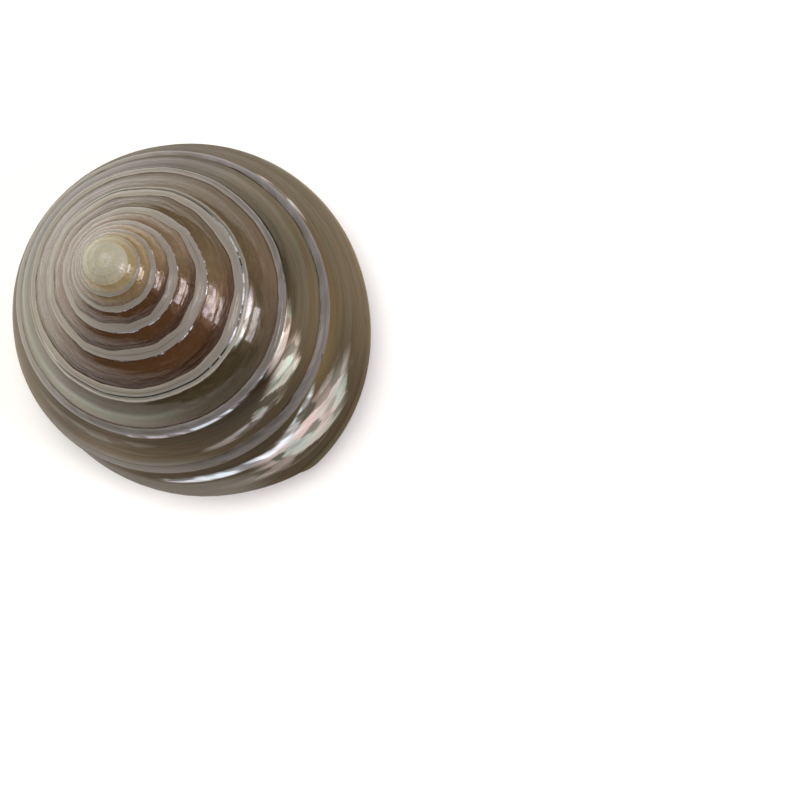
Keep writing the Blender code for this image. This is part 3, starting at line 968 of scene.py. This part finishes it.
    # The white bands, with jagged edges and a crease, painted lighter on the lit side and painted
    # darker on the right, and a dark line above each, partly the shell's own red-brown and partly
    # painted shadow at the band's foot.
    def bands(self, colour):
        tree, turn, across = self.tree, self.turn, self.across
        jagged = tree.noise(tree.place(turn * 26.0, across * 0.6, 3.0), 3, 0.6)
        edge = across + (jagged - 0.5) * tree.ramp(turn, 7.0, 8.5, 0.1, 0.2)
        band = tree.ramp(edge, 0.994, 1.006) * tree.fade(across, 1.97, 2.0)
        self.band = band * tree.between(turn, 2.6, 3.1, 9.0, 9.5) * self.onFace
        outer = tree.mix(tree.ramp(self.growth, 0.4, 0.6), colours["bandGrey"], colours["bandLilac"])
        outer = tree.mix(tree.ramp(self.lightSide, 0.1, 0.9, 0.0, 0.8), outer, colours["bandLight"])
        bandColour = tree.mix(tree.ramp(turn, 7.3, 8.3), colours["band"], outer)
        crease = tree.fade((edge - 1.42).math("ABSOLUTE"), 0.03, 0.09) * tree.ramp(self.blotch, 0.42, 0.6)
        crease = crease * tree.ramp(turn, 4.5, 5.5, 0.0, 0.5)
        bandColour = tree.mix(crease, bandColour, colours["olive"])
        bandColour = tree.shade(tree.ramp(self.rightSide, -0.6, 0.8), bandColour, shades["rightBandShade"])
        bandGrain = tree.mix(self.fibre, shades["bandDark"], shades["bandBright"])
        bandColour = tree.mix(1.0, bandColour, bandGrain, "MULTIPLY")
        line = tree.between(edge, 0.9, 0.99, 0.998, 1.002) * tree.ramp(turn, 3.4, 4.5)
        line = line * tree.ramp(turn, 7.0, 8.0, 1.0, 0.35) * tree.fade(turn, 8.9, 9.5) * self.onFace
        colour = tree.mix(line * 0.8, colour, colours["shadowLine"])
        return tree.mix(self.band, colour, bandColour)

    # Along the sutures: a green groove, a pale thread beside it, painted glints that are brightest on
    # the right, and pits.
    def sutures(self, colour):
        tree, turn, across = self.tree, self.turn, self.across
        wavy = across + (tree.noise(tree.place(turn * 30.0, 0.5, 3.0), 2) - 0.5) * 0.09
        threaded = tree.between(turn, 7.35, 7.6, 8.5, 8.8) * self.onFace
        colour = tree.mix(tree.fade(wavy, 0.135, 0.16) * threaded, colour, colours["thread"])
        colour = tree.mix(tree.fade(across, 0.035, 0.055) * threaded, colour, colours["sutureGreen"])
        paintedGlints = tree.ramp(tree.noise(tree.place(turn * 18.0, 0.5, 1.0), 4, 0.75), 0.5, 0.6)
        paintedGlints = paintedGlints * tree.fade((across - 0.03).math("ABSOLUTE"), 0.008, 0.024)
        paintedGlints = paintedGlints * tree.ramp(self.rightSide, 0.1, 0.7, 0.15, 0.9)
        paintedGlints = paintedGlints * tree.between(turn, 3.6, 4.2, 8.2, 9.0) * self.onFace
        colour = tree.mix(paintedGlints, colour, colours["white"])
        pits = tree.ramp(tree.noise(tree.place(turn * 60.0, self.span * 1.2, 8.0), 0), 0.7, 0.75)
        pitted = tree.between(across, 1.5, 1.8, 1.97, 2.0) * tree.ramp(turn, 7.6, 8.0)
        return tree.mix(pits * pitted * self.onFace, colour, colours["sutureGreen"])

    def base(self, colour):
        tree, across = self.tree, self.across
        base = tree.ramp(across, 2.05, 2.14) * self.onFace
        # The base's nacre is brown with a painted silver reflection in streaks, more of it toward the side
        # where the whorls get the darkest painted shade.
        silver = tree.mix(tree.ramp(self.fine, 0.4, 0.6), self.tint, colours["silver"])
        silverSheen = tree.ramp(self.darkSide * 0.35 + self.streaks + self.spiral, 0.6, 1.1)
        colour = tree.mix(base, colour, tree.mix(silverSheen, colours["baseBrown"], silver))
        cordStep = (whorls["cordOuter"] - whorls["cordInner"]) / whorls["cords"]
        firstCord = 3 - whorls["cordOuter"]
        valley = ((across - firstCord) * (2 * math.pi / cordStep)).math("COSINE")
        corded = tree.mix(tree.ramp(valley, -0.4, 0.5), colours["cord"], colours["groove"])
        return tree.mix(base * tree.ramp(across, firstCord, firstCord + 0.01), colour, corded)

    # The callus spreads over the base and up the pillar, and the lining fills the mouth.
    def mouthParts(self, colour):
        tree, turn, across, inside = self.tree, self.turn, self.across, self.inside
        spread = 2.62 - tree.ramp(turn, 9.15, 9.6, 0.45, 0.0) + (self.blotch - 0.5) * 0.3
        callus = tree.ramp(across - spread, -0.01, 0.01) * tree.ramp(across, 2.15, 2.3) * self.onFace
        onPillar = tree.ramp(inside, 2.6, 2.9)
        self.callus = callus + tree.between(inside, 0.4, 0.6, 1.5, 1.6) + onPillar
        self.lining = tree.between(inside, 1.6, 1.9, 2.6, 2.9)
        self.tooth = tree.ramp(inside, 3.3, 3.9)
        specks = tree.ramp(tree.noise(tree.place(turn * 70.0, across * 26.0, 2.0), 1), 0.72, 0.78)
        specks = specks * tree.ramp(across, 0.8, 0.95, 0.8, 0.0)
        colour = tree.mix(self.lining, colour, tree.mix(specks, colours["mouth"], colours["speck"]))
        callusColour = tree.mix(tree.ramp(self.blotch, 0.35, 0.65), colours["callus"], colours["callusTan"])
        colour = tree.mix(self.callus, colour, callusColour)
        return tree.mix(self.tooth, colour, colours["tooth"])

    # The far sides of the outer whorls are less shiny and get painted shade, the upper sides get
    # painted shade, and the outer whorls are dimmer.
    def shadedSides(self, colour):
        tree, turn, across = self.tree, self.turn, self.across
        farSide = tree.between(turn, 9.28, 9.36, 9.7, 9.95) * tree.ramp(across, 0.3, 0.9, 0.6, 0.32)
        lastBut = tree.between(turn, 8.32, 8.45, 8.76, 8.84) * tree.ramp(across, 0.6, 1.0, 0.6, 0.1)
        farSide = (farSide + lastBut) * tree.fade(across, 1.95, 2.05) * self.onFace
        colour = tree.shade(farSide, colour, shades["farSide"])
        lowRim = tree.ramp(turn, 10.0, 10.06) * tree.between(across, 1.5, 1.9, 2.05, 2.15)
        self.soft = farSide.math("MAXIMUM", lowRim * self.onFace)
        covered = self.shine.math("MAXIMUM", self.band)
        self.plainFace = tree.fade(across, 1.9, 2.0) * self.onFace * (1.0 - covered)
        wider = tree.ramp(turn, 7.8, 8.3, 0.0, 0.5) * tree.fade(turn, 8.7, 9.3)
        upper = tree.ramp(self.upperSide + wider, 0.0, 0.9) * tree.ramp(turn, 5.6, 6.6) * self.plainFace
        self.upper = upper * tree.ramp(turn, 9.74, 9.86, 1.0, 0.82)
        upperShade = tree.mix(tree.ramp(turn, 7.8, 8.6), shades["upper"], shades["upperOuter"])
        colour = tree.shade(self.upper, colour, upperShade)
        return tree.shade(tree.ramp(turn, 7.9, 9.0) * self.plainFace, colour, shades["outerWhorls"])

    def gloss(self):
        tree, turn, across = self.tree, self.turn, self.across
        plain = (self.band * 0.4).math("MAXIMUM", self.callus).math("MAXIMUM", self.lining)
        matt = self.band.math("MAXIMUM", plain).math("MAXIMUM", self.shine)
        metal = self.wide * 0.3 + tree.ramp(turn, 8.1, 9.2, 0.0, 0.6)
        metal = (1.0 - matt) * tree.ramp(turn, 2.8, 3.8) * metal
        metal = metal * (1.0 - self.ledge) * (1.0 - self.soft * 0.5)
        mottle = tree.ramp(tree.noise(tree.place(turn * 48.0, self.span * 1.1, 11.0), 1, 0.5), 0.42, 0.7)
        mottle = mottle * tree.between(turn, 3.6, 4.4, 8.2, 8.8) * self.onFace
        mottle = mottle * tree.ramp(self.rightSide, 0.4, 0.8)
        gaps = tree.fade(self.breaks, 0.42, 0.54) * tree.ramp(turn, 10.05, 10.12) * self.plainFace
        rough = 0.16 + self.growth * 0.12 + plain * 0.2 - self.tooth * 0.15 + mottle * 0.18
        rough = rough + tree.ramp(turn, 8.0, 9.0, 0.0, 0.1) + gaps * 0.12 + self.soft * 0.4
        rough = rough + self.upper * tree.ramp(across, 0.4, 0.8) * 0.15
        coat = tree.ramp(turn, 8.4, 9.4, 0.6, 0.1) * tree.ramp(across, 0.55, 0.75, 1.0, 0.2)
        return {"Metallic": metal, "Roughness": rough, "Coat Weight": coat * (1.0 - mottle * 0.8)}

    def relief(self):
        tree, turn = self.tree, self.turn
        dents = tree.noise(tree.place(turn * 24.0, self.span * 1.3, 7.0), 2, 0.5)
        lift = self.fibre * tree.ramp(turn, 6.8, 7.8, 0.01, 0.003) + self.growth * 0.006
        lift = lift + dents * tree.ramp(turn, 7.4, 8.2, 0.9, 0.25)
        values = {"Strength": 0.5, "Distance": 0.0004, "Height": lift}
        return tree.node("ShaderNodeBump", {}, values)["Normal"]


def nacre():
    material = bpy.data.materials.new("nacre")
    surface = Nacre(material)
    colour = surface.spire()
    layers = (
        surface.patches, surface.shining, surface.grain, surface.ledges, surface.bands,
        surface.sutures, surface.base, surface.mouthParts, surface.shadedSides,
    )
    for layer in layers:
        colour = layer(colour)
    values = {
        "Base Color": colour, **surface.gloss(), "Normal": surface.relief(),
        "IOR": 1.35, "Specular IOR Level": 0.4, "Specular Tint": (1.0, 0.86, 0.68, 1),
        "Coat Roughness": 0.06,
    }
    shader = surface.tree.node("ShaderNodeBsdfPrincipled", {}, values)["BSDF"]
    surface.tree.node("ShaderNodeOutputMaterial", {}, {"Surface": shader})
    return material


# The studio: a pale floor, soft light from above, windows at both sides, a dim room.
studio = {
    "floorHalf": 0.45,
    "floorColour": (0.9, 0.9, 0.9, 1),
    "floorRoughness": 0.9,
    "roomColour": (0.05, 0.043, 0.035, 1),
    "roomStrength": 1.0,
}

# Each light's name, centre, what it faces, size in metres, colour and power in watts.
lights = (
    ("soft light", (-0.25, 0.16, 0.7), (0, 0, 0), (1.0, 1.0), (1.0, 0.975, 0.93), 10.5),
    ("window", (0.8, -0.13, 0.42), (0, 0, 0.02), (0.42, 0.26), (1.0, 0.93, 1.02), 5.0),
    ("narrow window", (0.82, -0.16, 0.16), (0, 0, 0.02), (0.3, 0.07), (1.0, 0.95, 1.0), 0.9),
    ("far window", (-0.8, -0.1, 0.22), (0, 0, 0.02), (0.35, 0.05), (0.95, 0.98, 1.0), 0.6),
)

camera = {
    "place": (0.0111, -0.02048, 0.14893),
    "target": (0.02787, -0.00819, 0.0),
    "upAzimuth": 94.0,
    "lens": 50.0,
    "sensor": 36,
    "clip": (0.01, 10),
}


def floorMaterial():
    material = bpy.data.materials.new("floor")
    tree = Tree(material)
    values = {"Base Color": studio["floorColour"], "Roughness": studio["floorRoughness"]}
    shader = tree.node("ShaderNodeBsdfPrincipled", {}, values)["BSDF"]
    tree.node("ShaderNodeOutputMaterial", {}, {"Surface": shader})
    return material


def makeStudio():
    half = studio["floorHalf"]
    corners = [(-half, -half, 0), (half, -half, 0), (half, half, 0), (-half, half, 0)]
    data = bpy.data.meshes.new("floor")
    data.from_pydata(corners, [], [(0, 1, 2, 3)])
    data.materials.append(floorMaterial())
    floor = addObject("floor", data)
    floor.location.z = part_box("shell")[0].z
    for name, centre, target, size, colour, power in lights:
        lamp = bpy.data.lights.new(name, "AREA")
        lamp.shape = "RECTANGLE"
        lamp.size, lamp.size_y = size
        lamp.color = colour
        lamp.energy = power
        obj = addObject(name, lamp)
        obj.location = centre
        obj.rotation_euler = (Vector(target) - Vector(centre)).to_track_quat("-Z", "Y").to_euler()
    world = bpy.data.worlds.new("room")
    bpy.context.scene.world = world
    tree = Tree(world)
    values = {"Color": studio["roomColour"], "Strength": studio["roomStrength"]}
    background = tree.node("ShaderNodeBackground", {}, values)["Background"]
    tree.node("ShaderNodeOutputWorld", {}, {"Surface": background})


def makeCamera():
    data = bpy.data.cameras.new("camera")
    data.lens = camera["lens"]
    data.sensor_width = camera["sensor"]
    data.clip_start, data.clip_end = camera["clip"]
    obj = addObject("camera", data)
    place = Vector(camera["place"])
    back = (place - Vector(camera["target"])).normalized()
    azimuth = math.radians(camera["upAzimuth"])
    right = Vector((math.cos(azimuth), math.sin(azimuth), 0)).cross(back).normalized()
    up = back.cross(right)
    obj.matrix_world = Matrix.Translation(place) @ Matrix((right, up, back)).transposed().to_4x4()
    bpy.context.scene.camera = obj


print("building the shell")
piece = makePiece()
print("colouring the nacre")
piece.data.materials.append(nacre())
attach(piece, "root")
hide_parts("shell")
print("triangles:", sum(len(face.vertices) - 2 for face in piece.data.polygons))
print("setting up the studio")
makeStudio()
makeCamera()
bpy.context.scene.view_settings.view_transform = "Standard"
